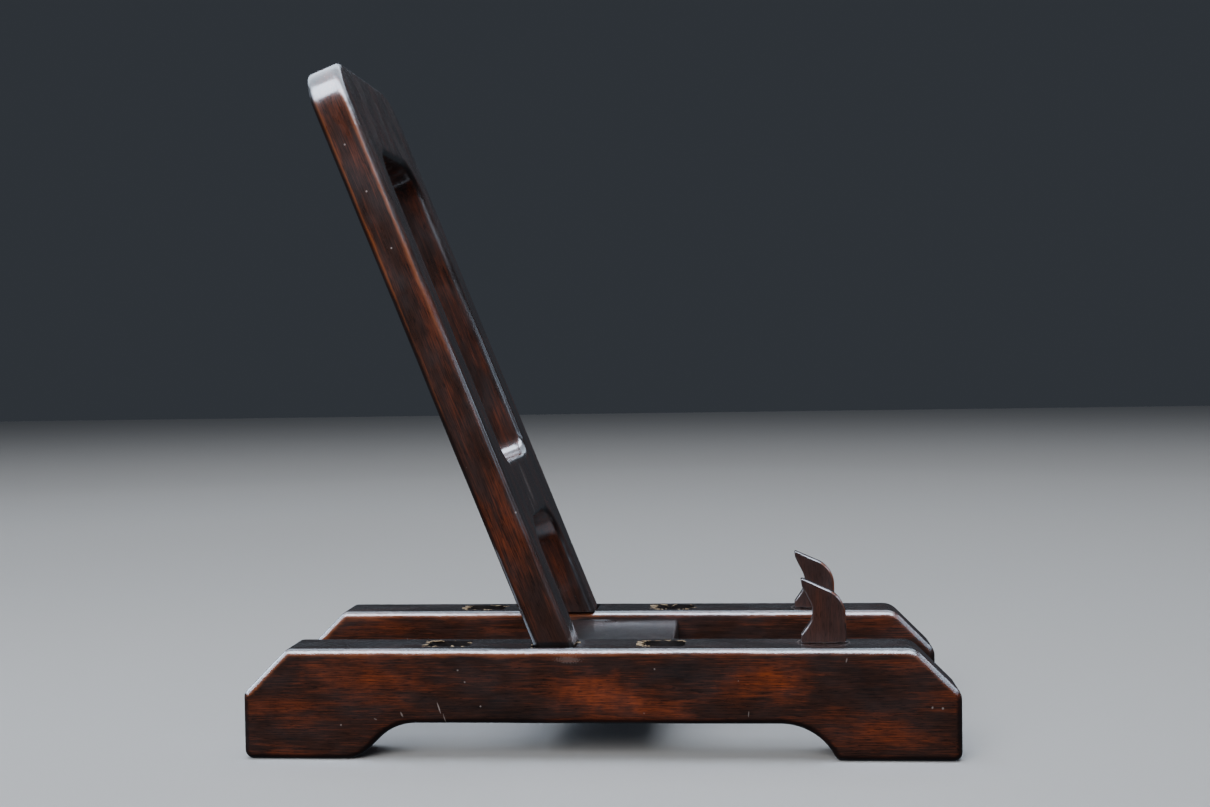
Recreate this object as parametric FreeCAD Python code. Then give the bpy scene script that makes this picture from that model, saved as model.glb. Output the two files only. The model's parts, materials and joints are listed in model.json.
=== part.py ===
"""Photo album stand: two runners, a cross board, a lift-out leaning backrest and two turning hooks.

Millimetres. X runs from the rear (-) to the front (+), Y from the left (-) to the right (+), Z is up.
The origin is on the floor, at the centre of the runners.
"""

import FreeCAD, Part
import math
import os

# Runners
RUNNER_LENGTH = 300.0
RUNNER_HEIGHT = 46.7
RUNNER_THICKNESS = 28.0
OVERALL_WIDTH = 130.0
REAR_CHAMFER = 19.0
FRONT_CHAMFER = 18.7
ARCH_HEIGHT = 15.2
REAR_FOOT = 49.2            # along the floor, to the virtual corner of the arch
FRONT_FOOT = 50.9
REAR_ARCH_ANGLE = 45.0      # slope of the arch's ends
FRONT_ARCH_ANGLE = 62.0
ARRIS = 3.0                 # rounding along the long edges

# Cross board
CROSS_LENGTH = 60.0         # along X
CROSS_THICKNESS = 24.0
CROSS_DROP = 3.9            # its top below the runners' tops
TENON_LENGTH = 12.0         # into each runner
TENON_WIDTH = 50.0
TENON_THICKNESS = 8.0
TENON_RISE = 1.7            # tenon's underside above the board's underside

# Backrest
LEAN = 21.5                 # degrees from upright
FOOT_FRONT_X = -9.5         # where its front face meets the runners' tops
BACK_LENGTH = 268.5         # along the lean, above the runners' tops
BACK_WIDTH = 116.0
BACK_THICKNESS = 16.2
BACK_CORNER = 20.0
OPENING_HALF_WIDTH = 35.0
LOWER_OPENING_TOP = 54.5    # along the lean
UPPER_OPENING = (82.5, 228.0)
LOWER_OPENING_CORNER = 18.0
UPPER_OPENING_CORNERS = (8.5, 15.0)     # at its lower and upper end

# Sockets and the tenons in them
SOCKET_DEPTH = 15.0
SOCKET_PITCH = 45.5         # from one socket to the next
LEG_TENON_WIDTH = 14.4
SIDE_PLAY = 0.25            # each side, across
LENGTH_PLAY = 0.6           # each side, along
FLOOR_PLAY = 0.3
TENON_SET_BACK = 0.2        # tenon's front face behind the board's front face

# Hooks
HOOK_X = 94.5
HOOK_Y = 48.5
HOOK_THICKNESS = 5.5
HOOK_FOOT = 19.0
HOOK_HEIGHT = 27.1
HOOK_ARRIS = 0.9
PIN_RADIUS = 1.9
PIN_IN_HOOK = 9.0
PIN_IN_RUNNER = 15.0
PIN_PLAY = 0.05             # running clearance round the pin
HOOK_LIFT = 0.1             # foot of the hook above the runner

INNER_Y = OVERALL_WIDTH / 2 - RUNNER_THICKNESS
SLOPE = math.tan(math.radians(LEAN))
SECTION = BACK_THICKNESS / math.cos(math.radians(LEAN))    # level section of the leaning board
SOCKET_CENTRES = [FOOT_FRONT_X - SECTION / 2 + step * SOCKET_PITCH for step in (-1, 0, 1)]
SOCKET_OUTER_Y = BACK_WIDTH / 2 + SIDE_PLAY
SOCKET_INNER_Y = BACK_WIDTH / 2 - LEG_TENON_WIDTH - SIDE_PLAY
CROSS_TOP = RUNNER_HEIGHT - CROSS_DROP
CROSS_BOTTOM = CROSS_TOP - CROSS_THICKNESS


def rounded_outline(corners, place):
    """A closed face from (a, b, radius) corners, each rounded by an arc. place turns (a, b) into a point."""
    count = len(corners)
    arcs = []
    for i, (a, b, radius) in enumerate(corners):
        here = FreeCAD.Vector(a, b, 0)
        before = (FreeCAD.Vector(*corners[i - 1][:2], 0) - here).normalize()
        after = (FreeCAD.Vector(*corners[(i + 1) % count][:2], 0) - here).normalize()
        half = before.getAngle(after) / 2
        tangent = radius / math.tan(half)
        middle = (before + after).normalize() * (radius / math.sin(half) - radius)
        arcs.append((here + before * tangent, here + middle, here + after * tangent, radius))
    edges = []
    for i, (start, middle, end, radius) in enumerate(arcs):
        following = arcs[(i + 1) % count][0]
        if radius > 0:
            edges.append(Part.Arc(*[place(p.x, p.y) for p in (start, middle, end)]).toShape())
        if (following - end).Length > 1e-6:
            edges.append(Part.LineSegment(place(end.x, end.y), place(following.x, following.y)).toShape())
    return Part.Face(Part.Wire(edges))


def round_edges(solid, radius, chosen):
    """The solid with the chosen edges rounded."""
    return solid.makeFillet(radius, [edge for edge in solid.Edges if chosen(edge)])


def box(x, y, z):
    """A box from (low, high) pairs."""
    return Part.makeBox(x[1] - x[0], y[1] - y[0], z[1] - z[0], FreeCAD.Vector(x[0], y[0], z[0]))


def side_profile(corners, y_low, y_high):
    """A solid whose (x, z, radius) outline is seen from the side, between two Y planes."""
    face = rounded_outline(corners, lambda x, z: FreeCAD.Vector(x, y_low, z))
    return face.extrude(FreeCAD.Vector(0, y_high - y_low, 0))


def mirrored(shape):
    """The same piece for the other side."""
    return shape.mirror(FreeCAD.Vector(0, 0, 0), FreeCAD.Vector(0, 1, 0))


def runner_blank():
    """The left runner before its joints are cut."""
    half = RUNNER_LENGTH / 2
    rear_run = ARCH_HEIGHT / math.tan(math.radians(REAR_ARCH_ANGLE))
    front_run = ARCH_HEIGHT / math.tan(math.radians(FRONT_ARCH_ANGLE))
    corners = [
        (-half, 0, 3.8),
        (-half + REAR_FOOT, 0, 15.0),
        (-half + REAR_FOOT + rear_run, ARCH_HEIGHT, 22.0),
        (half - FRONT_FOOT - front_run, ARCH_HEIGHT, 25.0),
        (half - FRONT_FOOT, 0, 3.6),
        (half, 0, 3.8),
        (half, RUNNER_HEIGHT - FRONT_CHAMFER, 7.0),
        (half - FRONT_CHAMFER, RUNNER_HEIGHT, 9.0),
        (-half + REAR_CHAMFER, RUNNER_HEIGHT, 4.0),
        (-half, RUNNER_HEIGHT - REAR_CHAMFER, 3.5),
    ]
    sides = (-OVERALL_WIDTH / 2, -INNER_Y)
    blank = side_profile(corners, *sides)
    on_a_side = lambda edge: any(abs(edge.BoundBox.YMin - y) + abs(edge.BoundBox.YMax - y) < 0.01 for y in sides)
    return round_edges(blank, ARRIS, on_a_side)


def socket(centre_x):
    """The slanted socket that a leg's tenon drops into, for cutting."""
    half = SECTION / 2 + LENGTH_PLAY
    corners = []
    for z, ends in ((RUNNER_HEIGHT - SOCKET_DEPTH, (-half, half)), (RUNNER_HEIGHT + 1, (half, -half))):
        shift = (RUNNER_HEIGHT - z) * SLOPE
        corners += [(centre_x + shift + end, z, 0) for end in ends]
    return side_profile(corners, -SOCKET_OUTER_Y, -SOCKET_INNER_Y)


def cross_tenon(y_low, y_high):
    """The cross board's tenon, and the mortise for it."""
    bottom = CROSS_BOTTOM + TENON_RISE
    return box((-TENON_WIDTH / 2, TENON_WIDTH / 2), (y_low, y_high), (bottom, bottom + TENON_THICKNESS))


def make_left_runner():
    runner = runner_blank()
    for centre_x in SOCKET_CENTRES:
        runner = runner.cut(socket(centre_x))
    runner = runner.cut(cross_tenon(-INNER_Y - TENON_LENGTH, -INNER_Y))
    hole_bottom = FreeCAD.Vector(HOOK_X, -HOOK_Y, RUNNER_HEIGHT - PIN_IN_RUNNER - FLOOR_PLAY)
    hole = Part.makeCylinder(PIN_RADIUS + PIN_PLAY, PIN_IN_RUNNER + FLOOR_PLAY + 1, hole_bottom)
    return runner.cut(hole)


def make_cross_board():
    board = box((-CROSS_LENGTH / 2, CROSS_LENGTH / 2), (-INNER_Y, INNER_Y), (CROSS_BOTTOM, CROSS_TOP))
    along_y = lambda edge: edge.BoundBox.YLength > 2 * INNER_Y - 0.01
    board = round_edges(board, 1.5, along_y)
    return board.fuse(cross_tenon(-INNER_Y - TENON_LENGTH, INNER_Y + TENON_LENGTH)).removeSplitter()


def make_backrest():
    """The board is drawn upright with its front face at X = 0, its openings cut, then leaned back."""
    below = -40.0
    half = BACK_WIDTH / 2
    place = lambda y, s: FreeCAD.Vector(-BACK_THICKNESS, y, s)
    thickness = FreeCAD.Vector(BACK_THICKNESS, 0, 0)
    outer = [(-half, below, 0), (half, below, 0), (half, BACK_LENGTH, BACK_CORNER),
             (-half, BACK_LENGTH, BACK_CORNER)]
    blank = rounded_outline(outer, place).extrude(thickness)
    edge_y = OPENING_HALF_WIDTH
    for ends, corners in ((UPPER_OPENING, UPPER_OPENING_CORNERS),
                          ((below - 1, LOWER_OPENING_TOP), (0, LOWER_OPENING_CORNER))):
        opening = [(-edge_y, ends[0], corners[0]), (edge_y, ends[0], corners[0]),
                   (edge_y, ends[1], corners[1]), (-edge_y, ends[1], corners[1])]
        blank = blank.cut(rounded_outline(opening, place).extrude(thickness))
    on_a_face = lambda edge: edge.BoundBox.XLength < 0.01 and edge.BoundBox.ZMax > below + 0.01
    blank = round_edges(blank, ARRIS, on_a_face)
    blank = blank.cut(box((-TENON_SET_BACK, 1), (-half - 1, half + 1), (below - 1, 0)))
    blank.rotate(FreeCAD.Vector(0, 0, 0), FreeCAD.Vector(0, 1, 0), -LEAN)
    blank.translate(FreeCAD.Vector(FOOT_FRONT_X, 0, RUNNER_HEIGHT))
    tenon_inner = half - LEG_TENON_WIDTH
    far = (-RUNNER_LENGTH, RUNNER_LENGTH)
    shoulder = box(far, (-tenon_inner, tenon_inner), (-RUNNER_LENGTH, RUNNER_HEIGHT))
    tenon_end = box(far, far, (-RUNNER_LENGTH, RUNNER_HEIGHT - SOCKET_DEPTH + FLOOR_PLAY))
    return blank.cut(shoulder).cut(tenon_end)


def make_left_hook():
    """A claw whose tip curls back over the runner, bored from below for its pin."""
    foot_z = RUNNER_HEIGHT + HOOK_LIFT
    rear = HOOK_X - HOOK_FOOT / 2
    front = HOOK_X + HOOK_FOOT / 2
    corners = [
        (rear, foot_z, 0),
        (front, foot_z, 0),
        (front, foot_z + 19.2, 12.5),
        (rear + 0.3, foot_z + HOOK_HEIGHT, 1.0),
        (rear + 0.6, foot_z + HOOK_HEIGHT - 3.3, 1.1),
        (rear + 6.3, foot_z + 12.2, 9.0),
        (rear + 0.2, foot_z + 3.1, 1.4),
    ]
    sides = (-HOOK_Y - HOOK_THICKNESS / 2, -HOOK_Y + HOOK_THICKNESS / 2)
    claw = side_profile(corners, *sides)
    on_a_side = lambda edge: edge.BoundBox.YLength < 0.01 and edge.BoundBox.ZMax > foot_z + 0.01
    claw = round_edges(claw, HOOK_ARRIS, on_a_side)
    return claw.cut(Part.makeCylinder(PIN_RADIUS, PIN_IN_HOOK, FreeCAD.Vector(HOOK_X, -HOOK_Y, foot_z)))


def make_left_hook_pin():
    bottom = RUNNER_HEIGHT - PIN_IN_RUNNER
    length = PIN_IN_RUNNER + HOOK_LIFT + PIN_IN_HOOK
    return Part.makeCylinder(PIN_RADIUS, length, FreeCAD.Vector(HOOK_X, -HOOK_Y, bottom))


left = {
    "runner": make_left_runner(),
    "hook": make_left_hook(),
    "hook_pin": make_left_hook_pin(),
}
parts = {"cross_board": make_cross_board(), "backrest": make_backrest()}
for piece, shape in left.items():
    parts["left_" + piece] = shape
    parts["right_" + piece] = mirrored(shape)

os.makedirs("parts", exist_ok=True)
for name, shape in parts.items():
    if not shape.isValid() or len(shape.Solids) != 1:
        raise ValueError(name + " is not one valid solid")
    shape.exportStep("parts/" + name + ".step")
    print(name, round(shape.Volume), shape.BoundBox)
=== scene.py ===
"""Looks of the photo album stand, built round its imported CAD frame.

Everything is in metres in the CAD's frame: X to the front, Y to the right, Z up. Sizes that belong to the
carpentry are written in millimetres and turned into metres by MM.
"""
import json
import math
import random

import bmesh
import bpy
import numpy as np
from mathutils import Euler, Matrix, Vector, noise
from mathutils.geometry import delaunay_2d_cdt
from mathutils.kdtree import KDTree


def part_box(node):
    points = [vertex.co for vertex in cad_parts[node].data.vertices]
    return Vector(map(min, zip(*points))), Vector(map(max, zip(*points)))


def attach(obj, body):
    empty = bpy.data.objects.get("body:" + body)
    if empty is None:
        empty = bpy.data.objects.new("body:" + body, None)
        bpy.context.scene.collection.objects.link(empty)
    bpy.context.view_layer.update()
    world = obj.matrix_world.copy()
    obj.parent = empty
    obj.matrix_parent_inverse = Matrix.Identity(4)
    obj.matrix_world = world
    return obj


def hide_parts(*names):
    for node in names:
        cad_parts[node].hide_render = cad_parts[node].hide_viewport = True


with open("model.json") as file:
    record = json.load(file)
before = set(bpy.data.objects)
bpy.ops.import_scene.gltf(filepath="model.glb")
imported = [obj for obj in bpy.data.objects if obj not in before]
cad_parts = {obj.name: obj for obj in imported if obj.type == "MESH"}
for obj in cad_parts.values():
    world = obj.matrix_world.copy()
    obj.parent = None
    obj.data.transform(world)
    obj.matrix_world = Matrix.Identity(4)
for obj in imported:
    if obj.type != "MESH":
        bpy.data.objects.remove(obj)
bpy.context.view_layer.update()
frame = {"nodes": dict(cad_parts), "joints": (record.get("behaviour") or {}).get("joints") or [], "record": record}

MM = 0.001
JOINTS = {joint["name"]: joint for joint in frame["joints"]}
OPENINGS = {opening["name"]: opening["box_m"] for opening in frame["record"]["physics"]["openings"]}

# Places read from the frame
RUNNER_LOW, RUNNER_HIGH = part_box("left_runner")
BACK_LOW, BACK_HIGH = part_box("backrest")
CROSS_LOW, CROSS_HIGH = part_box("cross_board")
HOOK_LOW, HOOK_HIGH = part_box("left_hook")
TOP = RUNNER_HIGH.z                              # the runners' top faces
OUTER_Y = -RUNNER_LOW.y
INNER_Y = -RUNNER_HIGH.y
LIFT = Vector(JOINTS["backrest_lift"]["axis"])   # up along the backrest
LEAN = math.atan2(-LIFT.x, LIFT.z)
FOOT_FRONT_X = BACK_HIGH.x - (TOP - BACK_LOW.z) * math.tan(LEAN)
HOOK_PIVOT = Vector(JOINTS["left_hook_turn"]["pos_m"])

# The runners' outline
REAR_CHAMFER = 19.0 * MM
FRONT_CHAMFER = 18.7 * MM
ARCH_HEIGHT = 15.2 * MM
REAR_FOOT = 49.2 * MM
FRONT_FOOT = 50.9 * MM
REAR_ARCH_SLOPE = math.tan(math.radians(45))
FRONT_ARCH_SLOPE = math.tan(math.radians(62))
ARRIS = 3.0 * MM
LARGEST_ARRIS = 3.35 * MM                        # under the outlines' smallest radius

# The backrest, measured along its lean from the runners' tops
BACK_LENGTH = 268.5 * MM
BACK_THICKNESS = 16.2 * MM
BACK_CORNER = 20.0 * MM
OPENING_HALF_WIDTH = 35.0 * MM
LOWER_OPENING_TOP = 54.5 * MM
LOWER_OPENING_CORNER = 18.0 * MM
UPPER_OPENING = (82.5 * MM, 228.0 * MM)
UPPER_OPENING_CORNERS = (8.5 * MM, 15.0 * MM)
LEG_TENON_WIDTH = 14.4 * MM

# The camera stands in front of the left side, a little above the stand
CAMERA_PLACE = Vector((64.9, -754.7, 168.75)) * MM
CAMERA_TURN = math.radians(-4.91)
CAMERA_TILT = math.radians(-1.68)
CAMERA_ROLL = math.radians(-0.92)
CAMERA_LENS = 50.0


# ---------------------------------------------------------------- boards with rounded edges

def rounded_loop(corners, step):
    """Points along a closed outline of (a, b, radius) corners."""
    count = len(corners)
    runs = []
    for i, (a, b, radius) in enumerate(corners):
        here = Vector((a, b))
        before = (Vector(corners[i - 1][:2]) - here).normalized()
        after = (Vector(corners[(i + 1) % count][:2]) - here).normalized()
        half = before.angle(after) / 2
        tangent = radius / math.tan(half)
        start, end = here + before * tangent, here + after * tangent
        centre = here + (before + after).normalized() * radius / math.sin(half)
        turn = (end - centre).angle_signed(start - centre) if radius else 0.0
        pieces = max(6, round(abs(turn) * radius / step)) if radius else 0
        arc = [start.copy()]
        for k in range(1, pieces + 1):
            arc.append(centre + Matrix.Rotation(turn * k / pieces, 2) @ (start - centre))
        runs.append(arc)
    points = []
    for i, arc in enumerate(runs):
        points += arc
        gap = runs[(i + 1) % count][0] - arc[-1]
        pieces = max(1, round(gap.length / step))
        points += [arc[-1] + gap * k / pieces for k in range(1, pieces)]
    return np.array([tuple(p) for p in points])


def inward(points):
    """Unit normals that point into the material, for an outline that runs anticlockwise."""
    along = np.roll(points, -1, 0) - np.roll(points, 1, 0)
    along /= np.linalg.norm(along, axis=1)[:, None]
    return np.stack([-along[:, 1], along[:, 0]], 1)


def inside(points, loops):
    """Which points lie in the area between the loops, by counting crossings."""
    odd = np.zeros(len(points), bool)
    for loop in loops:
        for (ax, ay), (bx, by) in zip(loop, np.roll(loop, -1, 0)):
            spans = (ay > points[:, 1]) != (by > points[:, 1])
            if spans.any():
                crossing = ax + (points[:, 1] - ay) * (bx - ax) / ((by - ay) or 1e-12)
                odd ^= spans & (points[:, 0] < crossing)
    return odd


def distance_to(points, targets):
    """Distance from each point to its nearest target."""
    return np.array([np.sqrt(((targets - p) ** 2).sum(1).min()) for p in points])


def cap(loops, grid):
    """Triangles and inner points that fill the area between the loops."""
    edge_points = np.concatenate(loops)
    low, high = edge_points.min(0), edge_points.max(0)
    across = [np.arange(low[k] + grid / 2, high[k], grid) for k in (0, 1)]
    inner = np.stack(np.meshgrid(*across), -1).reshape(-1, 2)
    inner = inner[inside(inner, loops)]
    inner = inner[distance_to(inner, edge_points) > 0.6 * grid]
    points = np.concatenate([edge_points, inner])
    edges, first = [], 0
    for loop in loops:
        edges += [(first + k, first + (k + 1) % len(loop)) for k in range(len(loop))]
        first += len(loop)
    scale = 1 / MM
    found = delaunay_2d_cdt([Vector(p * scale) for p in points], edges, [], 1, 1e-6)
    source = [origin[0] if origin else None for origin in found[3]]
    faces = [[source[v] for v in face] for face in found[2]]
    faces = [face for face in faces if None not in face]
    middles = np.array([points[face].mean(0) for face in faces])
    return inner, [face for face, kept in zip(faces, inside(middles, loops)) if kept]


ARRISES = {}                                     # points along each board's arrises
ARRIS_STEPS = 8                                  # rows of points round one arris
ARRIS_ROWS = {"face": (1, 2), "middle": (3, 4), "side": (5, 6)}


def board(name, loops, thickness, arris, place, grid=2.6 * MM):
    """A board with rounded arrises. arris holds two functions that give the rounding along a loop, on the
    board's two faces, and place turns (a, b, depth) into a point. ARRISES keeps the points along each loop's
    arrises: next to the face, in the middle, and next to the board's side."""
    turns = np.linspace(0, math.pi / 2, ARRIS_STEPS)
    depth_steps = np.linspace(0, 1, max(2, round(thickness / grid)))[1:-1]
    vertices, faces, cap_loops, cap_index = [], [], ([], []), ([], [])
    ARRISES[name] = []
    for loop in loops:
        normals = inward(loop)
        front, back = [function(loop) for function in arris]
        flat_side = np.zeros(len(loop))
        rows = [(front * (1 - math.sin(t)), front * (1 - math.cos(t))) for t in turns]
        rows += [(flat_side, front + (thickness - front - back) * share) for share in depth_steps]
        rows += [(back * (1 - math.sin(t)), thickness - back * (1 - math.cos(t))) for t in turns[::-1]]
        first, last = len(vertices), len(rows) - 1
        ARRISES[name].append({zone: [] for zone in ARRIS_ROWS})
        for number, (inset, depth) in enumerate(rows):
            flat = loop + normals * inset[:, None]
            vertices += [(a, b, d) for (a, b), d in zip(flat, depth)]
            for zone, lines in ARRIS_ROWS.items():
                if number in lines or last - number in lines:
                    ARRISES[name][-1][zone] += [Vector(place(*v)) for v in vertices[-len(loop):]]
        size = len(loop)
        for row in range(len(rows) - 1):
            for k in range(size):
                low, high = first + row * size, first + (row + 1) * size
                faces.append((low + k, low + (k + 1) % size, high + (k + 1) % size, high + k))
        for side, row in ((0, 0), (1, len(rows) - 1)):
            cap_loops[side].append(loop + normals * rows[row][0][:, None])
            cap_index[side].extend(range(first + row * size, first + (row + 1) * size))
    for side, depth in ((0, 0.0), (1, thickness)):
        inner, triangles = cap(cap_loops[side], grid)
        index = cap_index[side] + list(range(len(vertices), len(vertices) + len(inner)))
        vertices += [(a, b, depth) for a, b in inner]
        faces += [tuple(index[v] for v in face) for face in triangles]
    return mesh_object(name, [place(*v) for v in vertices], faces)


def mesh_object(name, vertices, faces, smooth=True):
    """A new object whose normals point outwards."""
    mesh = bpy.data.meshes.new(name)
    mesh.from_pydata(vertices, [], faces)
    work = bmesh.new()
    work.from_mesh(mesh)
    bmesh.ops.recalc_face_normals(work, faces=work.faces)
    work.to_mesh(mesh)
    work.free()
    if smooth:
        mesh.shade_smooth()
    obj = bpy.data.objects.new(name, mesh)
    bpy.context.scene.collection.objects.link(obj)
    return obj


def uneven(obj, amount, wavelength, seed, dents=0):
    """Hand-planed unevenness, always inwards, and small seeded dents along the arrises."""
    rng = random.Random(seed)
    shift = Vector((0.37, 0.11, 0.23)) * seed
    arris = ARRISES[obj.name][0]["middle"]
    marks = [(rng.choice(arris), rng.uniform(0.8, 2.4) * MM, rng.uniform(0.1, 0.4) * MM)
             for _ in range(dents)]
    normals = [v.normal.copy() for v in obj.data.vertices]
    for v, normal in zip(obj.data.vertices, normals):
        push = amount * (noise.noise(v.co / wavelength + shift) - 1) / 2
        for centre, radius, depth in marks:
            gap = (v.co - centre).length / radius
            if gap < 1:
                push -= depth * (1 - gap * gap) ** 2
        v.co += normal * push
    obj.data.update()


def cut(obj, cutters):
    """Cuts the cutters out of obj, whose new faces take the cutters' materials."""
    for cutter in cutters:
        step = obj.modifiers.new("cut", "BOOLEAN")
        step.operation, step.solver, step.object = "DIFFERENCE", "EXACT", cutter
        step.material_mode = "TRANSFER"
    bpy.context.view_layer.update()
    made = bpy.data.meshes.new_from_object(obj.evaluated_get(bpy.context.evaluated_depsgraph_get()))
    made.name = obj.name
    obj.modifiers.clear()
    obj.data = made
    for cutter in cutters:
        bpy.data.objects.remove(cutter)
    made.set_sharp_from_angle(angle=math.radians(38))


def paint(obj, name, targets, reach, share=lambda place: 1.0):
    """A point attribute that is 1 at the targets and fades away over reach, times a share of the place."""
    tree = KDTree(len(targets))
    for i, target in enumerate(targets):
        tree.insert(target, i)
    tree.balance()
    values = [share(v.co) * math.exp(-(tree.find(v.co)[2] / reach) ** 2) for v in obj.data.vertices]
    obj.data.attributes.new(name, "FLOAT", "POINT").data.foreach_set("value", values)


def block(name, low, high):
    """A box from its lowest and highest corners, for cutting."""
    corners = [(x, y, z) for x in (low[0], high[0]) for y in (low[1], high[1]) for z in (low[2], high[2])]
    faces = [(0, 1, 3, 2), (4, 6, 7, 5), (0, 4, 5, 1), (2, 3, 7, 6), (0, 2, 6, 4), (1, 5, 7, 3)]
    return mesh_object(name, corners, faces, smooth=False)


# ---------------------------------------------------------------- materials

def node(tree, kind, inputs=(), **settings):
    """A shader node, whose inputs take sockets or constants."""
    made = tree.nodes.new("ShaderNode" + kind)
    for key, value in settings.items():
        setattr(made, key, value)
    for key, value in dict(inputs).items():
        if isinstance(value, bpy.types.NodeSocket):
            tree.links.new(value, made.inputs[key])
        else:
            made.inputs[key].default_value = value
    return made


def calculate(tree, operation, *values, clamp=False):
    return node(tree, "Math", enumerate(values), operation=operation, use_clamp=clamp).outputs[0]


def remap(tree, value, low, high, new_low=0.0, new_high=1.0):
    """value from low..high to new_low..new_high, clamped, with soft ends."""
    inputs = {"Value": value, "From Min": low, "From Max": high, "To Min": new_low, "To Max": new_high}
    return node(tree, "MapRange", inputs, interpolation_type="SMOOTHSTEP").outputs["Result"]


def blend(tree, share, first, second, mode="MIX"):
    """A mix of two colours."""
    made = tree.nodes.new("ShaderNodeMix")
    made.data_type, made.blend_type = "RGBA", mode
    for key, value in ((0, share), (6, first), (7, second)):
        if isinstance(value, bpy.types.NodeSocket):
            tree.links.new(value, made.inputs[key])
        else:
            made.inputs[key].default_value = (*value, 1) if key else value
    return made.outputs[2]


def ramp(tree, value, stops):
    """Colours along a value, from (position, colour) stops."""
    made = node(tree, "ValToRGB", {"Fac": value})
    elements = made.color_ramp.elements
    while len(elements) < len(stops):
        elements.new(0.5)
    for element, (position, colour) in zip(elements, stops):
        element.position, element.color = position, (*colour, 1)
    return made.outputs["Color"]


def stretched(tree, along, scale, shift=(0, 0, 0)):
    """Coordinates in units of scale millimetres, one number each way, moved by shift."""
    steps = {"Vector": along, "Scale": [1 / s for s in scale], "Location": shift}
    return node(tree, "Mapping", steps).outputs["Vector"]


def texture(tree, vector, detail=2.0, roughness=0.5, output="Fac"):
    inputs = {"Vector": vector, "Scale": 1.0, "Detail": detail, "Roughness": roughness}
    return node(tree, "TexNoise", inputs).outputs[output]


def mark(tree, centre, size, turn=0.0, ragged=0.5, strength=1.0, grit=1400, core=0.55):
    """A patch round a centre, in millimetres of the stand's frame, with half-sizes and a turn about Y."""
    place = node(tree, "TexCoord").outputs["Object"]
    inputs = {"Vector": place, "Location": [c * MM for c in centre], "Rotation": (0, turn, 0),
              "Scale": [s * MM for s in size]}
    local = node(tree, "Mapping", inputs, vector_type="TEXTURE").outputs["Vector"]
    away = node(tree, "VectorMath", [(0, local)], operation="LENGTH").outputs["Value"]
    rough = texture(tree, node(tree, "Mapping", {"Vector": place, "Scale": (grit,) * 3}).outputs["Vector"], 3)
    edge = calculate(tree, "MULTIPLY_ADD", rough, ragged * 2, away)
    return remap(tree, edge, 1.25 + ragged, core + ragged, 0.0, strength)


def highest(tree, masks):
    found = masks[0]
    for other in masks[1:]:
        found = calculate(tree, "MAXIMUM", found, other)
    return found


GRAIN_ALONG_X = (0, 0, 0)
GRAIN_ALONG_Y = (0, 0, -math.pi / 2)
GRAIN_UPRIGHT = (0, math.pi / 2, 0)
GRAIN_ALONG_LEAN = (0, math.pi / 2 + LEAN, 0)


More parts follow.
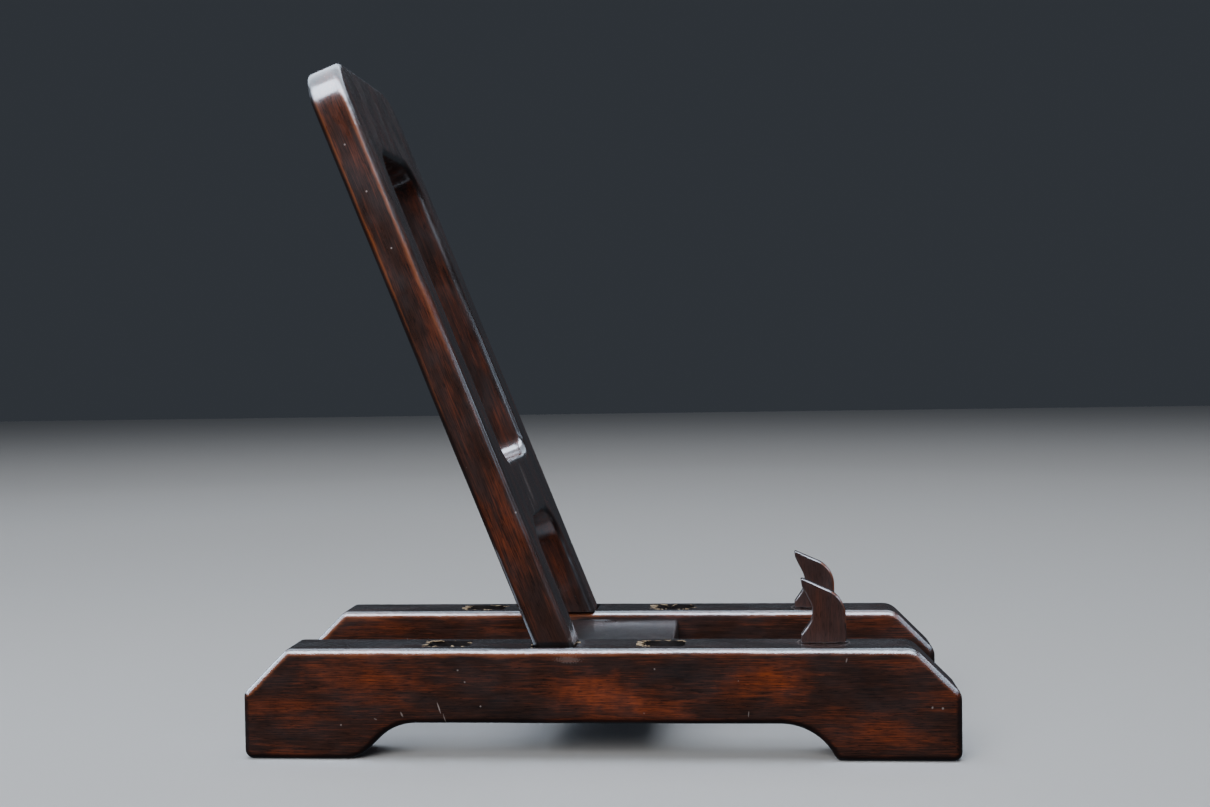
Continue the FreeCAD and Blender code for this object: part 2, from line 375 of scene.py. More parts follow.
def hardwood(name, grain, seed, colours, pith, marks=(), figures=(), ring=None, gloss=0.34, top_shade=0.0,
             figure=1.0, grainy=1.0, coat=1.0, coat_roughness=0.15, shade_and_dirt_marks=()):
    """Lacquered reddish-brown hardwood: bright figure on a dark ground, growth bands round a pith, fibres,
    open pores, worn upper arrises, painted shade on other arrises, dust and rubbed marks. figures are brighter
    or darker places, stains are painted shade with some dirt, and top_shade paints shade on faces that look up."""
    material = bpy.data.materials.new(name)
    material.use_nodes = True
    tree = material.node_tree
    tree.nodes.clear()
    place = node(tree, "TexCoord").outputs["Object"]
    inputs = {"Vector": place, "Rotation": grain, "Scale": (1 / MM,) * 3,
              "Location": (seed * 41.0, seed * 17.0, seed * 29.0)}
    wood = node(tree, "Mapping", inputs).outputs["Vector"]

    # growth bands round the pith, bent by slow waves along the grain
    waves = texture(tree, stretched(tree, wood, (70, 18, 18)), 4, 0.55, "Color")
    waves = node(tree, "VectorMath", [(0, waves), (1, (0.5, 0.5, 0.5))], operation="SUBTRACT").outputs[0]
    waves = node(tree, "VectorMath", [(0, waves), (1, (0, 22, 22))], operation="MULTIPLY").outputs[0]
    bent = node(tree, "VectorMath", [(0, wood), (1, waves)], operation="ADD").outputs[0]
    shift = (0, seed * -17.0 + pith[0], seed * -29.0 + pith[1])
    from_pith = node(tree, "VectorMath", [(0, bent), (1, shift)], operation="ADD").outputs[0]
    from_pith = node(tree, "VectorMath", [(0, from_pith), (1, (0, 1, 1))], operation="MULTIPLY").outputs[0]
    radius = node(tree, "VectorMath", [(0, from_pith)], operation="LENGTH").outputs["Value"]
    bands = node(tree, "TexNoise", {"W": calculate(tree, "DIVIDE", radius, 2.6), "Detail": 3.0, "Scale": 1.0},
                 noise_dimensions="1D").outputs["Fac"]
    patches = texture(tree, stretched(tree, wood, (52, 13, 13), (3, 1, 7)), 3, 0.5)
    clouds = texture(tree, stretched(tree, wood, (17, 4.6, 4.6), (6, 3, 2)), 3, 0.55)
    fibres = texture(tree, stretched(tree, wood, (15, 0.48, 0.48), (5, 2, 1)), 4, 0.65)
    streaks = texture(tree, stretched(tree, wood, (34, 1.5, 1.5), (8, 5, 4)), 3, 0.6)
    tone = calculate(tree, "MULTIPLY_ADD", patches, 1.0, calculate(tree, "MULTIPLY", clouds, 0.55))
    tone = calculate(tree, "MULTIPLY_ADD", bands, 0.20, tone)
    tone = calculate(tree, "MULTIPLY_ADD", streaks, 0.45, tone)
    tone = calculate(tree, "MULTIPLY_ADD", fibres, 0.65, tone)
    for centre, size, turn, strength in figures:
        tone = calculate(tree, "ADD", tone, mark(tree, centre, size, turn, 0.7, strength, 160, -0.2))
    tone = node(tree, "MapRange", {"Value": tone, "From Min": MIDDLE_TONE - 0.33 / figure,
                                   "From Max": MIDDLE_TONE + 0.52 / figure}).outputs["Result"]
    dark, ground, bright = colours
    between = [0.5 * (a + b) for a, b in zip(ground, bright)]
    colour = ramp(tree, tone, [(0.0, dark), (0.38, ground), (0.74, between), (1.0, bright)])
    shade = remap(tree, fibres, 0.3, 0.7, 1 - 0.30 * grainy, 1 + 0.27 * grainy)
    shade = node(tree, "CombineColor", {key: shade for key in ("Red", "Green", "Blue")}).outputs["Color"]
    colour = blend(tree, 1.0, colour, shade, "MULTIPLY")

    # open pores: short dark dashes along the grain
    pores = texture(tree, stretched(tree, wood, (3.6, 0.22, 0.22), (1, 8, 3)), 1, 0.5)
    pores = remap(tree, pores, 0.42, 0.32)
    colour = blend(tree, calculate(tree, "MULTIPLY", pores, 0.7), colour, tuple(c * 0.2 for c in dark))
    # faces that look up are darkened here: painted shade on the tops
    if top_shade:
        normal = node(tree, "NewGeometry").outputs["Normal"]
        top_shade_share = node(tree, "SeparateXYZ", {"Vector": normal}).outputs["Z"]
        top_shade_share = remap(tree, top_shade_share, 0.75, 0.99, 0.0, top_shade)
        colour = blend(tree, top_shade_share, colour, tuple(c * 0.35 for c in dark))

    # arrises: upper ones worn to a brighter wood; lower, inner and rear ones darkened as painted shade, with some
    # dirt
    wear = node(tree, "Attribute", attribute_name="wear").outputs["Fac"]
    rub = texture(tree, stretched(tree, wood, (8, 1.1, 1.1), (2, 2, 9)), 4, 0.65)
    slow = texture(tree, stretched(tree, wood, (45, 30, 30), (9, 4, 4)), 1, 0.5)
    worn = calculate(tree, "MULTIPLY_ADD", rub, 1.1, calculate(tree, "MULTIPLY_ADD", slow, 0.9, wear))
    worn = calculate(tree, "MULTIPLY", remap(tree, worn, 1.35, 2.05), 0.75)
    colour = blend(tree, worn, colour, WORN_WOOD)
    # painted shade along the arrises that face down, inwards or meet another part, with some dirt
    shade_and_dirt = node(tree, "Attribute", attribute_name="shade_and_dirt").outputs["Fac"]
    shade_and_dirt = remap(tree, calculate(tree, "MULTIPLY_ADD", rub, 0.5, shade_and_dirt), 0.45, 1.15, 0.0, 0.75)
    # stains darken the backrest's feet where they stand on the runners: painted contact shade with some dirt
    for each in shade_and_dirt_marks:
        shade_and_dirt = calculate(tree, "MAXIMUM", shade_and_dirt, mark(tree, *each))
    colour = blend(tree, shade_and_dirt, colour, tuple(c * 0.25 for c in dark))
    lips = node(tree, "Attribute", attribute_name="lips").outputs["Fac"]
    torn = texture(tree, stretched(tree, wood, (2.6, 0.7, 0.7), (4, 2, 6)), 3, 0.7)
    torn = remap(tree, calculate(tree, "MULTIPLY_ADD", torn, 0.9, lips), 1.22, 1.42)
    colour = blend(tree, torn, colour, TORN_LIP)

    # dust, marks rubbed or scratched through the lacquer, and on the backrest one painted highlight
    cells = node(tree, "TexVoronoi", {"Vector": stretched(tree, wood, (6.5, 6.5, 6.5)), "Scale": 1.0})
    chosen = node(tree, "SeparateColor", {"Color": cells.outputs["Color"]}).outputs[0]
    size = remap(tree, chosen, 0.80, 1.0, 0.0, 0.04)
    dust = calculate(tree, "LESS_THAN", cells.outputs["Distance"], size)
    pale = calculate(tree, "MULTIPLY", dust, 0.45)
    masks = [mark(tree, *each) for each in marks]
    if ring:
        masks.append(ring_mask(tree, *ring))
    if masks:
        pale = calculate(tree, "MAXIMUM", pale, highest(tree, masks))
    colour = blend(tree, pale, colour, DUST_AND_GLINT)

    smears = texture(tree, stretched(tree, wood, (22, 13, 13), (7, 7, 7)), 4, 0.6)
    rough = remap(tree, smears, 0.3, 0.7, gloss - 0.07, gloss + 0.10)
    rough = calculate(tree, "MULTIPLY_ADD", calculate(tree, "MAXIMUM", pale, torn), 0.35, rough, clamp=True)

    height = calculate(tree, "MULTIPLY", pores, -0.008 * MM)
    height = calculate(tree, "MULTIPLY_ADD", fibres, 0.004 * MM, height)
    height = calculate(tree, "MULTIPLY_ADD", rub, 0.012 * MM, height)
    height = calculate(tree, "MULTIPLY_ADD", pale, 0.01 * MM, height)
    bump = node(tree, "Bump", {"Height": height, "Distance": 1.0, "Strength": 0.9})

    # the lacquer is wavy where the arrises were rounded by hand
    worked = node(tree, "Attribute", attribute_name="worked").outputs["Fac"]
    ripples = texture(tree, stretched(tree, wood, (5.0, 2.6, 2.6), (3, 6, 5)), 4, 0.75)
    rippled = calculate(tree, "MULTIPLY_ADD", worked, 0.30 * MM, 0.004 * MM)
    ripples = calculate(tree, "MULTIPLY", ripples, rippled)
    skin = node(tree, "Bump", {"Height": ripples, "Distance": 1.0, "Strength": 0.9})
    surface = node(tree, "BsdfPrincipled", {
        "Base Color": colour, "Roughness": rough, "Normal": bump.outputs["Normal"], "Specular IOR Level": 0.2,
        "Coat Weight": coat, "Coat Roughness": coat_roughness, "Coat IOR": 1.55,
        "Coat Normal": skin.outputs["Normal"]})
    node(tree, "OutputMaterial", {"Surface": surface.outputs["BSDF"]})
    return material


def ring_mask(tree, centre, radius, width):
    """A broken ring of residue round a centre on the runner's top, with specks outside it."""
    place = node(tree, "TexCoord").outputs["Object"]
    flat = node(tree, "VectorMath", [(0, place), (1, centre)], operation="SUBTRACT").outputs[0]
    flat = node(tree, "VectorMath", [(0, flat), (1, (1, 1, 0))], operation="MULTIPLY").outputs[0]
    away = node(tree, "VectorMath", [(0, flat)], operation="LENGTH").outputs["Value"]
    off = calculate(tree, "ABSOLUTE", calculate(tree, "SUBTRACT", away, radius))
    grit = node(tree, "Mapping", {"Vector": place, "Scale": (900, 900, 900)}).outputs["Vector"]
    grit = texture(tree, grit, 4, 0.7)
    near = remap(tree, off, width, 0.0, 0.0, 0.85)
    inside_ring = remap(tree, away, radius, radius * 0.6, 0.0, 0.3)
    on_top = node(tree, "SeparateXYZ", {"Vector": place}).outputs["Z"]
    on_top = calculate(tree, "GREATER_THAN", on_top, TOP - 1.2 * MM)
    close = calculate(tree, "MAXIMUM", near, inside_ring)
    mask = remap(tree, calculate(tree, "ADD", grit, close), 1.10, 1.50)
    return calculate(tree, "MULTIPLY", calculate(tree, "MULTIPLY", mask, on_top), 0.35)


def plain_wood(name, dark, bright, scale, shine=0.7):
    """Bare wood or bamboo, with fibres along X."""
    material = bpy.data.materials.new(name)
    material.use_nodes = True
    tree = material.node_tree
    tree.nodes.clear()
    place = node(tree, "TexCoord").outputs["Object"]
    fibres = texture(tree, stretched(tree, place, [s * MM for s in scale]), 4, 0.65)
    patches = texture(tree, stretched(tree, place, (3.1 * MM,) * 3), 3, 0.6)
    tone = calculate(tree, "MULTIPLY_ADD", fibres, 0.6, calculate(tree, "MULTIPLY", patches, 0.5))
    tone = remap(tree, tone, 0.36, 0.74)
    colour = blend(tree, tone, dark, bright)
    bump = node(tree, "Bump", {"Height": calculate(tree, "MULTIPLY", fibres, 0.12 * MM), "Distance": 1.0})
    surface = node(tree, "BsdfPrincipled", {"Base Color": colour, "Roughness": shine,
                                            "Normal": bump.outputs["Normal"], "Specular IOR Level": 0.08})
    node(tree, "OutputMaterial", {"Surface": surface.outputs["BSDF"]})
    return material


# ---------------------------------------------------------------- the pieces

MIDDLE_TONE = 1.43  # the middle of the figure's noises added up
COLOURS = ((0.026, 0.0125, 0.0090), (0.052, 0.0195, 0.0120), (0.310, 0.0600, 0.0140))
WORN_WOOD = (0.350, 0.0980, 0.0280)
TORN_LIP = (0.22, 0.13, 0.065)
DUST_AND_GLINT = (0.50, 0.41, 0.38)
CROSS_COLOURS = ((0.014, 0.0085, 0.0080), (0.026, 0.0140, 0.0120), (0.10, 0.032, 0.014))
HOOK_COLOURS = ((0.034, 0.0180, 0.0155), (0.058, 0.0270, 0.0220), (0.150, 0.0420, 0.0180))

SOCKET_DEPTHS = [d * MM for d in (-1.2, 0.0, 0.35, 0.8, 1.5, 2.6, 5.0, 10.0, 15.0)]
SIDES = {"left": -1, "right": 1}


def runner_corners():
    """The runner's side outline as (x, z, radius), anticlockwise from the rear foot."""
    rear, front = RUNNER_LOW.x, RUNNER_HIGH.x
    return [
        (rear, 0, 3.8 * MM),
        (rear + REAR_FOOT, 0, 15 * MM),
        (rear + REAR_FOOT + ARCH_HEIGHT / REAR_ARCH_SLOPE, ARCH_HEIGHT, 22 * MM),
        (front - FRONT_FOOT - ARCH_HEIGHT / FRONT_ARCH_SLOPE, ARCH_HEIGHT, 25 * MM),
        (front - FRONT_FOOT, 0, 3.6 * MM),
        (front, 0, 3.8 * MM),
        (front, TOP - FRONT_CHAMFER, 7 * MM),
        (front - FRONT_CHAMFER, TOP, 9 * MM),
        (rear + REAR_CHAMFER, TOP, 4 * MM),
        (rear, TOP - REAR_CHAMFER, 3.5 * MM),
    ]


def worn_arris(radius, seed, front_gain=0.0):
    """A rounding that varies a little along the loop, and grows towards the front."""
    def along(loop):
        wobble = np.array([noise.noise(Vector((a, b, seed)) / (18 * MM)) for a, b in loop])
        forward = np.clip(loop[:, 0] / RUNNER_HIGH.x, 0, 1) ** 2
        return np.minimum(radius * (1 + 0.12 * wobble + front_gain * forward), LARGEST_ARRIS)
    return along


def hook_arris(loop):
    """A rounding that fades out at the hook's foot and is smaller at its tip."""
    from_tip = np.hypot(loop[:, 0] - HOOK_LOW.x, loop[:, 1] - HOOK_HIGH.z)
    above_foot = loop[:, 1] - HOOK_LOW.z
    return (0.55 * MM + np.clip(from_tip * 0.08, 0, 0.6 * MM)) * np.clip(above_foot / (7 * MM), 0.3, 1)


def socket_places(side):
    """The centres of a runner's three sockets along X at its top, and their common Y, from the openings."""
    mouths = [OPENINGS[side + "_" + end + "_socket_mouth"] for end in ("rear", "front")]
    rear, front = [mouth[1][0] - 9.2 * MM for mouth in mouths]
    middle_y = (mouths[0][0][1] + mouths[0][1][1]) / 2
    return (rear, (rear + front) / 2, front), middle_y


def socket_cutter(centre_x, centre_y, seed, material, chipped, corner, gap=0.0):
    """A slanted socket whose lips are chipped outwards, with a gap beyond its outer side. Returns it and the
    points of its lips."""
    half_length, half_width = 9.3 * MM, (7.5 if gap else 6.6) * MM
    outward_gap = math.copysign(gap, centre_y)
    outline = rounded_loop([(a * half_length, b * half_width + outward_gap * (b * centre_y > 0), corner)
                            for a, b in ((-1, -1), (1, -1), (1, 1), (-1, 1))], 0.6 * MM)
    outward = -inward(outline)
    vertices, faces = [], []
    for depth in SOCKET_DEPTHS:
        fade = math.exp(-max(depth, 0) / (1.6 * MM))
        for (a, b), (u, v) in zip(outline, outward):
            ragged = noise.noise(Vector((a / (1.5 * MM), b / (1.5 * MM), seed + depth / (3 * MM))))
            coarse = noise.noise(Vector((a / (5 * MM), b / (5 * MM), seed + 9.0)))
            out = chipped * fade * MM * (0.10 + 0.5 * max(0.0, ragged) + 1.3 * max(0.0, coarse)) - 0.05 * MM
            vertices.append((centre_x + depth * math.tan(LEAN) + a + u * out, centre_y + b + v * out,
                             TOP - depth))
    size = len(outline)
    for row in range(len(SOCKET_DEPTHS) - 1):
        for k in range(size):
            faces.append((row * size + k, row * size + (k + 1) % size,
                          (row + 1) * size + (k + 1) % size, (row + 1) * size + k))
    faces += [tuple(range(size)), tuple(range(len(vertices) - size, len(vertices)))]
    obj = mesh_object("cutter", vertices, faces, smooth=False)
    obj.data.materials.append(material)
    return obj, [Vector(v) for v in vertices[size:2 * size]]


def splinters(name, lips, count, seed):
    """Torn fibres along a socket's lips, as one mesh of closed, tapered slivers."""
    rng = random.Random(seed)
    vertices, faces = [], []
    rear_x = min(lip.x for lip in lips)
    for _ in range(count):
        root = rng.choice(lips)
        if root.x > rear_x + 6 * MM and rng.random() < 0.8:
            continue
        heading = rng.gauss(0, 0.45) + (math.pi if rng.random() < 0.5 else 0)
        rise = rng.uniform(-0.35, 0.12)
        along = Vector((math.cos(heading), math.sin(heading), rise)).normalized()
        across = along.cross(Vector((0, 0, 1))).normalized()
        up = across.cross(along).normalized()
        length, width = rng.uniform(1.2, 4.6) * MM, rng.uniform(0.3, 1.1) * MM
        thick = width * rng.uniform(0.3, 0.6)
        bend = rng.uniform(-0.25, 0.25)
        first, rings = len(vertices), 4
        for step in range(rings):
            share = step / (rings - 1)
            taper = 1 - 0.85 * share ** 1.5
            middle = root + along * length * (share - 0.45) + across * length * bend * share ** 2
            middle.z = min(middle.z, TOP + 0.25 * MM) - 0.1 * MM
            for turn in range(5):
                angle = turn * 2 * math.pi / 5
                vertices.append(middle + across * math.cos(angle) * width / 2 * taper
                                + up * math.sin(angle) * thick / 2 * taper)
        for step in range(rings - 1):
            for turn in range(5):
                low, high = first + step * 5, first + step * 5 + 5
                faces.append((low + turn, low + (turn + 1) % 5, high + (turn + 1) % 5, high + turn))
        faces += [tuple(first + k for k in range(5)), tuple(first + (rings - 1) * 5 + k for k in range(5))]
    return mesh_object(name, vertices, faces)


def finish_piece(obj, body, slot, *nodes):
    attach(obj, body)
    if nodes:
        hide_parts(*nodes)


# the sockets' walls and chipped mouths are nearly black: painted shade inside the holes
socket_shade = plain_wood("socket_shade", (0.0015, 0.0010, 0.0008), (0.018, 0.010, 0.006), (2.2, 0.35, 0.35), 0.8)
splinter_wood = plain_wood("splinter_wood", (0.14, 0.07, 0.03), (0.85, 0.68, 0.45), (1.4, 0.3, 0.3), 0.6)
bamboo = plain_wood("bamboo", (0.42, 0.28, 0.13), (0.70, 0.55, 0.33), (0.5, 0.5, 9.0), 0.5)

# Pale marks on the outer sides, in millimetres: centre, half-sizes, turn about Y, raggedness, strength
SPECK = (0.38, 3, 0.38)
RUNNER_MARKS = {
    "left": [
        ((-11.6, -65, 42.4), (5.0, 3, 1.5), 0.03, 1.3, 0.16),
        ((-66.1, -65, 22.1), (0.26, 3, 2.6), -0.30, 0.35, 0.65),
        ((-63.7, -65, 17.2), (0.22, 3, 2.5), -0.26, 0.35, 0.55),
        ((-81.9, -65, 19.3), (0.38, 3, 1.1), -0.5, 0.4, 0.5),
        ((-93.1, -65, 17.3), (0.7, 3, 0.3), 0.4, 0.4, 0.35),
        ((137.6, -65, 22.6), (0.4, 3, 0.6), 0.2, 0.4, 0.6),
        ((141.8, -65, 22.3), (0.5, 3, 0.5), 0.2, 0.4, 0.6),
        ((62.9, -65, 19.8), (0.22, 3, 1.3), 0.1, 0.3, 0.45),
        ((103.1, -65, 42.0), (0.26, 3, 1.0), 0.25, 0.3, 0.5),
        *(((x, -65, z), SPECK, 0, 0.4, 0.5) for x, z in
          ((-107.9, 14.8), (-57.9, 37.9), (-55.0, 33.0), (-48.5, 22.8), (24.4, 38.4))),
    ],
    "right": [
        ((52.0, 65, 30.0), (4.0, 3, 1.0), -0.05, 1.2, 0.2),
        ((-30.0, 65, 22.0), (0.3, 3, 2.2), 0.6, 0.3, 0.5),
    ],
}
# Brighter figure, or darker below 0: centre, half-sizes, turn about Y, strength
RUNNER_FIGURES = {
    "left": [
        ((-103, -65, 35), (34, 12, 8), 0.04, 0.26),
        ((-127, -65, 20), (14, 12, 7), 0.0, 0.14),
        ((-125, -65, 2.5), (24, 12, 2), 0.0, 0.22),
        ((0, -65, 28), (23, 12, 11), -0.08, 0.42),
        ((30, -65, 21), (18, 12, 5), 0.05, 0.26),
        ((73, -65, 34), (29, 12, 9), 0.08, 0.36),
        ((122, -65, 11), (27, 12, 6), 0.04, 0.20),
        ((-45, -65, 20), (26, 12, 9), 0.0, -0.16),
        ((34, -65, 37), (11, 12, 8), 0.0, -0.30),
        ((112, -65, 26), (20, 12, 9), 0.0, -0.10),
    ],
    "right": [
        ((-70, 65, 30), (36, 12, 9), 0.05, 0.34),
        ((60, 65, 33), (40, 12, 9), -0.04, 0.30),
        ((-10, 65, 18), (30, 12, 8), 0.0, -0.15),
        ((60, 35, 30), (70, 8, 10), 0.0, -0.10),
    ],
}
WORN_FROM_Z = TOP - 19.5 * MM                     # arrises above this are worn; below it they get painted shade

for side, sign in SIDES.items():
    seed = 3 if sign < 0 else 8
    name = side.capitalize() + "_runner"
    runner = board(name, [rounded_loop(runner_corners(), 2.4 * MM)], OUTER_Y - INNER_Y,
                   (worn_arris(ARRIS, seed, 0.15), worn_arris(ARRIS, seed + 20, 0.1)),
                   lambda a, b, d: (a, sign * (OUTER_Y - d), b))
    uneven(runner, 0.10 * MM, 30 * MM, seed, dents=26)
    residue = ((HOOK_PIVOT.x, sign * abs(HOOK_PIVOT.y), HOOK_PIVOT.z), 10.8 * MM, 1.5 * MM)
    # top_shade paints shade on the runner's tops
    runner.data.materials.append(hardwood(
        side + "_runner_wood", GRAIN_ALONG_X, seed, COLOURS, (46.0, sign * -35.0), RUNNER_MARKS[side],
        RUNNER_FIGURES[side], residue, top_shade=0.75))
    centres, middle_y = socket_places(side)
    cutters, lips = [], []
    for number, centre_x in enumerate(centres):
        wear = (0.3, 0.5 * MM, 2.4 * MM) if number == 1 else (1.0, 2.6 * MM)
        cutter, mouth = socket_cutter(centre_x, middle_y, seed + number * 3.3, socket_shade, *wear)
        cutters.append(cutter)
        lips.append(mouth)
    cut(runner, cutters)
    arris = ARRISES[name][0]
    paint(runner, "wear", [p for p in arris["face"] if p.z > WORN_FROM_Z], 0.95 * MM,
          lambda place: 0.55 + 0.45 * min(1.0, max(0.0, (0.03 - place.x) / 0.06)))
    # painted shade on the lower arrises and round the middle socket, where the leg stands in it
    paint(runner, "shade_and_dirt", [p for p in arris["middle"] if p.z < WORN_FROM_Z - 2 * MM] + lips[1], 1.7 * MM)
    paint(runner, "worked", arris["middle"], 2.4 * MM)
    torn = [p for number in (0, 2) for p in lips[number] if p.x < centres[number] - 3 * MM]
    paint(runner, "lips", torn, 1.1 * MM)
    finish_piece(runner, "base", "runner_wood", side + "_runner")
    for end, mouth, count in zip(("rear", "middle", "front"), lips, (44, 12, 56)):
        fibres = splinters(name + "_" + end + "_splinters", mouth, count, seed * 10 + len(end))
        fibres.data.materials.append(splinter_wood)
        finish_piece(fibres, "base", "runner_wood")

cross_corners = [(CROSS_LOW.x, CROSS_LOW.z, 1.5 * MM), (CROSS_HIGH.x, CROSS_LOW.z, 1.5 * MM),
                 (CROSS_HIGH.x, CROSS_HIGH.z, 1.5 * MM), (CROSS_LOW.x, CROSS_HIGH.z, 1.5 * MM)]
CUP = 1.1 * MM
HIDDEN_END = 0.3 * MM                            # of the cross board, inside each runner


def sawn_end(loop):
    """The small, even rounding of a sawn end."""
    return np.full(len(loop), 0.05 * MM)


cross = board("Cross_board", [rounded_loop(cross_corners, 1.6 * MM)], 2 * (INNER_Y + HIDDEN_END),
              (sawn_end, sawn_end), lambda a, b, d: (a, d - INNER_Y - HIDDEN_END, b))
for v in cross.data.vertices:
    if v.co.z > CROSS_LOW.z + 1.6 * MM:          # the board has cupped
        v.co.z -= CUP * (1 - (v.co.y / INNER_Y) ** 2)
uneven(cross, 0.10 * MM, 24 * MM, 5)
cross_edges = [Vector((x, y * MM, z)) for x in (CROSS_LOW.x, CROSS_HIGH.x)
               for z in (CROSS_LOW.z, CROSS_HIGH.z) for y in range(-37, 38)]
# top_shade paints shade on the board's top
cross.data.materials.append(hardwood(
    "cross_board_wood", GRAIN_ALONG_Y, 5, CROSS_COLOURS, (12.0, 60.0),
    [((-15.0, 5, 42.8), (0.4, 1.6, 2), 0, 0.3, 0.6), ((-1.0, 2, 42.8), (0.4, 1.4, 2), 0, 0.3, 0.6)],
    gloss=0.34, top_shade=0.5, coat=0.45, coat_roughness=0.2))
paint(cross, "wear", cross_edges, 0.8 * MM)
finish_piece(cross, "base", "cross_board_wood", "cross_board")

# The backrest: one board with a window and an arched gap between its legs
def leaning(y, up_board, behind):
    """A point of the backrest, from its distances across, along and behind its front face."""
    return (FOOT_FRONT_X + up_board * LIFT.x - behind * LIFT.z, y, TOP + up_board * LIFT.z + behind * LIFT.x)


HALF_BACK = BACK_HIGH.y
LEG_END = -24.0 * MM
gap = OPENING_HALF_WIDTH
outer_corners = [(-HALF_BACK, LEG_END, 0), (-gap, LEG_END, 0),
                 (-gap, LOWER_OPENING_TOP, LOWER_OPENING_CORNER),
                 (gap, LOWER_OPENING_TOP, LOWER_OPENING_CORNER), (gap, LEG_END, 0), (HALF_BACK, LEG_END, 0),
                 (HALF_BACK, BACK_LENGTH, BACK_CORNER), (-HALF_BACK, BACK_LENGTH, BACK_CORNER)]
bottom, top = zip(UPPER_OPENING, UPPER_OPENING_CORNERS)
window_corners = [(-gap, *bottom), (-gap, *top), (gap, *top), (gap, *bottom)]
back = board("Backrest", [rounded_loop(outer_corners, 2.4 * MM), rounded_loop(window_corners, 2.4 * MM)],
             BACK_THICKNESS, (worn_arris(ARRIS, 11), worn_arris(ARRIS, 12)), leaning)
uneven(back, 0.12 * MM, 36 * MM, 11, dents=30)
back.data.materials.append(hardwood(
    "backrest_wood", GRAIN_ALONG_LEAN, 11, COLOURS, (70.0, -22.0),
    [*(((x, -58, z), (0.42, 3, 0.42), 0, 0.3, 0.75) for x, z in
       ((-94.0, 238.7), (-83.9, 214.7), (-102.9, 258.5), (-33.3, 103.0))),
     # a pale patch on the near leg's front foot: a painted highlight over light residue
     ((-10.2, -54, 50.6), (1.4, 4, 3.0), 0.4, 0.9, 0.4),
     ((-35.0, -6, 112.0), (4, 3.0, 10.0), -0.2, 1.1, 0.4),
     ((-31.0, -16, 102.0), (4, 1.2, 8.0), 0.1, 1.1, 0.4)],
    [((-60.0, -58, 170.0), (6.0, 12, 95.0), -LEAN, 0.10), ((-35.0, -58, 90.0), (7.0, 12, 40.0), -LEAN, 0.12)],
    # the stains darken the legs' feet on the runners: painted contact shade
    gloss=0.32, figure=0.85, shade_and_dirt_marks=[((-18, y, 47.0), (16, 9, 1.7), 0, 0.25, 0.97) for y in (-58, 58)]))
BEYOND = 0.5                                     # further out than anything
shoulder = HALF_BACK - LEG_TENON_WIDTH
cut(back, [block("cutter", (-BEYOND, -shoulder, -BEYOND), (BEYOND, shoulder, TOP)),
           block("cutter", (-BEYOND, -BEYOND, -BEYOND), (BEYOND, BEYOND, BACK_LOW.z))])
arris, window = ARRISES["Backrest"]
sides = [p for p in arris["side"] if abs(p.y) > HALF_BACK - 1 * MM]
paint(back, "wear", sides, 0.8 * MM, lambda place: 0.3 + 0.7 * min(1.0, max(0.0, (place.z - 0.13) / 0.08)))
paint(back, "worked", [p for p in arris["middle"] + arris["side"] if p.z > BACK_HIGH.z - 0.03], 2.6 * MM)
rear_lines = [p for p in arris["middle"] + arris["face"] if p.x < FOOT_FRONT_X - BACK_THICKNESS / 2
              - (p.z - TOP) * math.tan(LEAN)]
inner_lines = [p for p in arris["middle"] if abs(p.y) < gap + ARRIS]
# painted shade along the window, the arched gap and the rear arrises, which face down, inwards or back
paint(back, "shade_and_dirt", window["middle"] + rear_lines + inner_lines, 1.3 * MM)
finish_piece(back, "backrest", "backrest_wood", "backrest")

# The hooks
hook_rear, hook_front, hook_foot = HOOK_LOW.x, HOOK_HIGH.x, HOOK_LOW.z
hook_corners = [
    (hook_rear, hook_foot, 0.2 * MM),
    (hook_front, hook_foot, 0.2 * MM),
    (hook_front, hook_foot + 19.2 * MM, 12.5 * MM),
    (hook_rear + 0.1 * MM, hook_foot + 27.4 * MM, 0.7 * MM),
    (hook_rear + 0.6 * MM, hook_foot + 23.8 * MM, 1.1 * MM),
    (hook_rear + 6.3 * MM, hook_foot + 12.2 * MM, 9.0 * MM),
    (hook_rear + 0.2 * MM, hook_foot + 3.1 * MM, 1.4 * MM),
]
for side, sign in SIDES.items():
    name = side.capitalize() + "_hook"
    low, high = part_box(side + "_hook")
    hook = board(name, [rounded_loop(hook_corners, 0.6 * MM)], high.y - low.y, (hook_arris, hook_arris),
                 lambda a, b, d: (a, low.y + d, b), grid=0.9 * MM)
    uneven(hook, 0.12 * MM, 7 * MM, 30 + sign, dents=5)
    hook.data.materials.append(hardwood(side + "_hook_wood", GRAIN_UPRIGHT, 30 + sign, HOOK_COLOURS,
                                        (20.0, 30.0), gloss=0.36, figure=0.6, grainy=0.4))
    paint(hook, "wear", [p for p in ARRISES[name][0]["side"] if p.x > HOOK_PIVOT.x + 4 * MM
                        and p.z > hook_foot + 8 * MM], 1.0 * MM)
    finish_piece(hook, side + "_hook", "hook_wood", side + "_hook")
    pin = frame["nodes"][side + "_hook_pin"]
    pin.data.materials.clear()
    pin.data.materials.append(bamboo)


# ---------------------------------------------------------------- floor, lights and camera

FLOOR_SIZE = 8.0
floor = mesh_object("Floor", [(x * FLOOR_SIZE / 2, y * FLOOR_SIZE / 2, 0) for x, y in
                              ((-1, -1), (1, -1), (1, 1), (-1, 1))], [(0, 1, 2, 3)], smooth=False)
floor_paint = bpy.data.materials.new("floor_paint")
floor_paint.use_nodes = True
floor_surface = floor_paint.node_tree.nodes["Principled BSDF"]
floor_surface.inputs["Base Color"].default_value = (0.62, 0.63, 0.64, 1)
floor_surface.inputs["Roughness"].default_value = 0.75
floor_surface.inputs["Specular IOR Level"].default_value = 0.2
floor.data.materials.append(floor_paint)
floor.visible_glossy = False                     # its pale light would veil the dark lacquer
floor.visible_diffuse = False


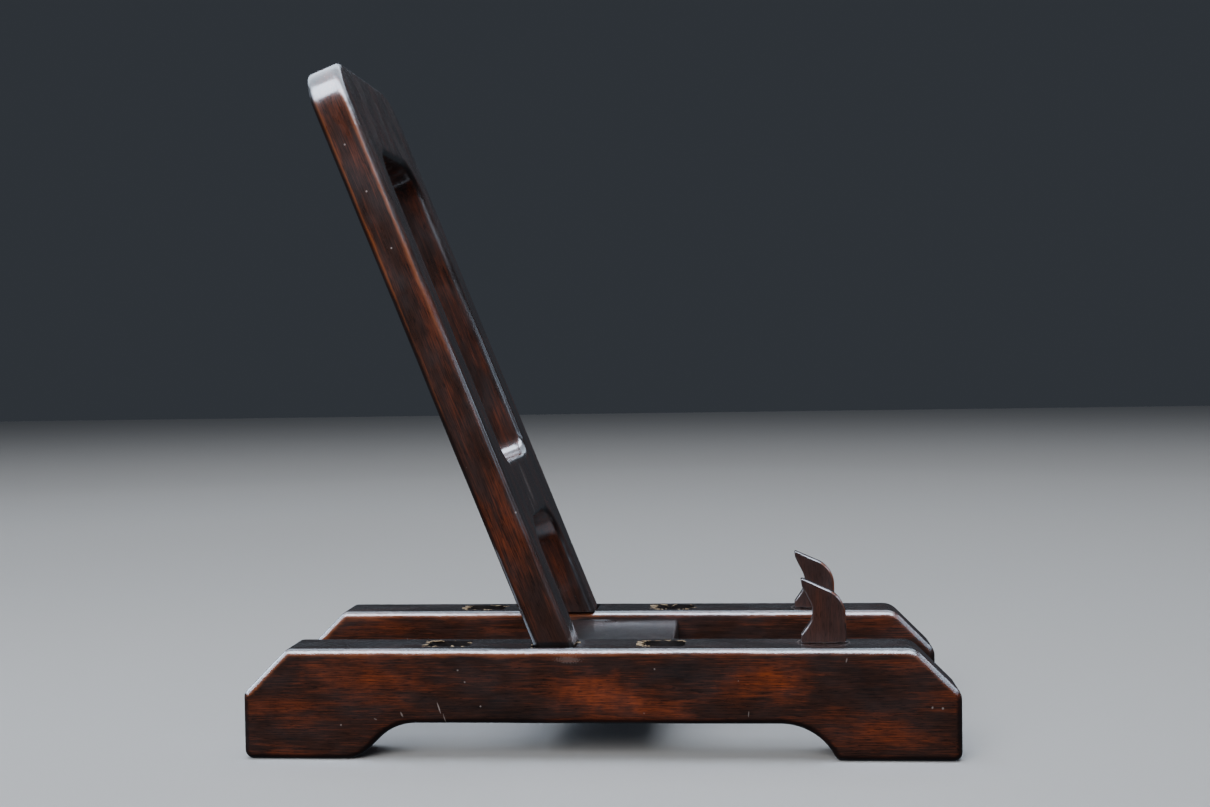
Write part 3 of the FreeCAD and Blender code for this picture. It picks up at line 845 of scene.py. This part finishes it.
def soft_box(name, place, aim, size, power, colour, lights_lacquer, spread=math.pi):
    """A soft light that either makes the lacquer shine or lights the colours, and never both."""
    light = bpy.data.lights.new(name, "AREA")
    light.shape, light.size, light.size_y = "RECTANGLE", *size
    light.energy, light.color, light.spread = power, colour, spread
    lamp = bpy.data.objects.new(name, light)
    lamp.location = place
    lamp.visible_camera = False
    lamp.visible_glossy = lights_lacquer
    lamp.visible_diffuse = not lights_lacquer
    lamp.rotation_euler = (Vector(aim) - Vector(place)).to_track_quat("-Z", "Y").to_euler()
    bpy.context.scene.collection.objects.link(lamp)


soft_box("Shine", (-0.35, -0.62, 1.0), (-0.35, -0.62, 0), (2.3, 0.8), 185, (0.72, 0.83, 1.0), True)
soft_box("Sky", (-0.35, 0.47, 1.0), (-0.35, 0.47, 0), (2.3, 1.4), 46, (0.70, 0.84, 1.0), True)
EDGE_DISTANCE = 0.85
EDGE_SPREAD = math.radians(24)
for name, sense, power in (("Front_edge", 1, 0.034), ("Rear_edge", -1, 0.065)):
    # narrow beams that the main camera sees mirrored in the arrises of the chamfers at one end
    edge = Vector((sense * 0.141, -0.03, 0.037))
    to_camera = (CAMERA_PLACE - edge).normalized()
    for number, turn in enumerate((29, 37, 45, 53, 61)):
        slope = Vector((sense, 0, 1)).normalized() * math.sin(math.radians(turn))
        normal = slope + Vector((0, -math.cos(math.radians(turn)), 0))
        way = 2 * normal.dot(to_camera) * normal - to_camera
        soft_box(f"{name}_{number}", edge + EDGE_DISTANCE * way, edge, (0.24, 0.24), power,
                 (0.66, 0.80, 1.0), True, EDGE_SPREAD)
soft_box("Top", (0, 0.3, 2.2), (0, 0, 0), (3.0, 3.0), 38, (0.97, 0.98, 1.0), False)
soft_box("Front", (-0.45, -1.5, 1.0), (0, 0, 0.1), (1.2, 1.0), 22, (1.0, 0.97, 0.94), False)

world = bpy.data.worlds.new("World")
bpy.context.scene.world = world
world.use_nodes = True
world.node_tree.nodes["Background"].inputs["Color"].default_value = (0.034, 0.039, 0.047, 1)

forward = Vector((math.sin(CAMERA_TURN) * math.cos(CAMERA_TILT),
                  math.cos(CAMERA_TURN) * math.cos(CAMERA_TILT), math.sin(CAMERA_TILT)))
lens = bpy.data.cameras.new("Camera")
lens.lens, lens.sensor_width = CAMERA_LENS, 36.0
lens.clip_start, lens.clip_end = 0.01, 50.0
camera = bpy.data.objects.new("Camera", lens)
camera.location = CAMERA_PLACE
level = forward.to_track_quat("-Z", "Y")
camera.rotation_euler = (level @ Euler((0, 0, CAMERA_ROLL)).to_quaternion()).to_euler()
bpy.context.scene.collection.objects.link(camera)
bpy.context.scene.camera = camera
